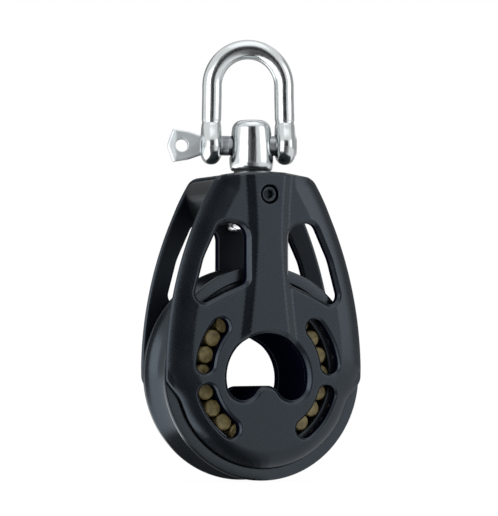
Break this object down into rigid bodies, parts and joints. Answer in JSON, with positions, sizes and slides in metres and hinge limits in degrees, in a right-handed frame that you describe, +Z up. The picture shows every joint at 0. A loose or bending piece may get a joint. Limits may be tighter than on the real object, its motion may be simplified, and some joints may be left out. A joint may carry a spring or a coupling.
{
  "type": "single sheave block",
  "caption": "Single sheave block for running rigging: bevelled open cheeks, roller-bearing grooved sheave, lashing eye through the hub and a lockable swivel post with a pinned shackle.",
  "frame": {"origin": "centre of the sheave, on its axis and midway between its rims", "axes": "+Y along the sheave's axis, away from the front cheek; +Z up towards the shackle; +X to the right"},
  "size_m": [0.045, 0.0188, 0.0932],
  "materials": {
    "black_anodised": "hard-anodised, satin black",
    "grey_anodised": "hard-anodised, dark grey with turning marks",
    "polished_steel": "forged stainless steel, polished",
    "plain_steel": "stainless steel, satin",
    "black_steel": "blackened steel",
    "bearing_plastic": "olive-tan bearing plastic",
    "black_acetal": "black acetal"
  },
  "bodies": {
    "shackle": {"shackle_bow": "polished_steel"},
    "shackle_pin": {"shackle_pin": "polished_steel"},
    "swivel_post": {"swivel_post": "polished_steel", "swivel_nut": "polished_steel", "swivel_washer": "black_acetal"},
    "block": {"front_cheek": "black_anodised", "rear_cheek": "black_anodised", "head_block": "black_anodised", "hub": "black_anodised", "thrust_washer": "black_acetal", "hub_screws": "plain_steel", "head_screws": "plain_steel"},
    "sheave": {"sheave": "grey_anodised"},
    "rollers": {"roller_01": "bearing_plastic", "roller_02": "bearing_plastic", "roller_03": "bearing_plastic", "roller_04": "bearing_plastic", "roller_05": "bearing_plastic", "roller_06": "bearing_plastic", "roller_07": "bearing_plastic", "roller_08": "bearing_plastic", "roller_09": "bearing_plastic", "roller_10": "bearing_plastic", "roller_11": "bearing_plastic", "roller_12": "bearing_plastic", "roller_13": "bearing_plastic", "roller_14": "bearing_plastic", "roller_15": "bearing_plastic", "roller_16": "bearing_plastic", "roller_17": "bearing_plastic", "roller_18": "bearing_plastic", "roller_19": "bearing_plastic", "roller_20": "bearing_plastic", "roller_21": "bearing_plastic", "roller_22": "bearing_plastic"},
    "side_balls": {"front_side_balls": "black_acetal", "rear_side_balls": "black_acetal"},
    "lock_screw": {"lock_screw": "black_steel"}
  },
  "joints": [
    {"name": "shackle_pivot", "type": "hinge", "parent": "shackle", "child": "swivel_post", "pos_m": [0, 0, 0.04815], "axis": [0.9397, -0.342, 0], "range_deg": [-105, 105]},
    {"name": "shackle_pin_travel", "type": "slide", "parent": "shackle", "child": "shackle_pin", "axis": [-0.9397, 0.342, 0], "range_m": [0, 0.0215]},
    {"name": "swivel", "type": "hinge", "parent": "swivel_post", "child": "block", "pos_m": [0, 0, 0.038], "axis": [0, 0, 1], "continuous": true},
    {"name": "lock_screw_travel", "type": "slide", "parent": "block", "child": "lock_screw", "axis": [0, 1, 0], "range_m": [0, 0.0008]},
    {"name": "sheave_spin", "type": "hinge", "parent": "block", "child": "sheave", "pos_m": [0, 0, 0], "axis": [0, 1, 0], "continuous": true},
    {"name": "roller_orbit", "type": "hinge", "parent": "block", "child": "rollers", "pos_m": [0, 0, 0], "axis": [0, 1, 0], "continuous": true},
    {"name": "side_ball_orbit", "type": "hinge", "parent": "block", "child": "side_balls", "pos_m": [0, 0, 0], "axis": [0, 1, 0], "continuous": true}
  ],
  "couplings": [
    {"joint": "roller_orbit", "follows": "sheave_spin", "ratio": 0.56481},
    {"joint": "side_ball_orbit", "follows": "sheave_spin", "ratio": 0.5}
  ]
}
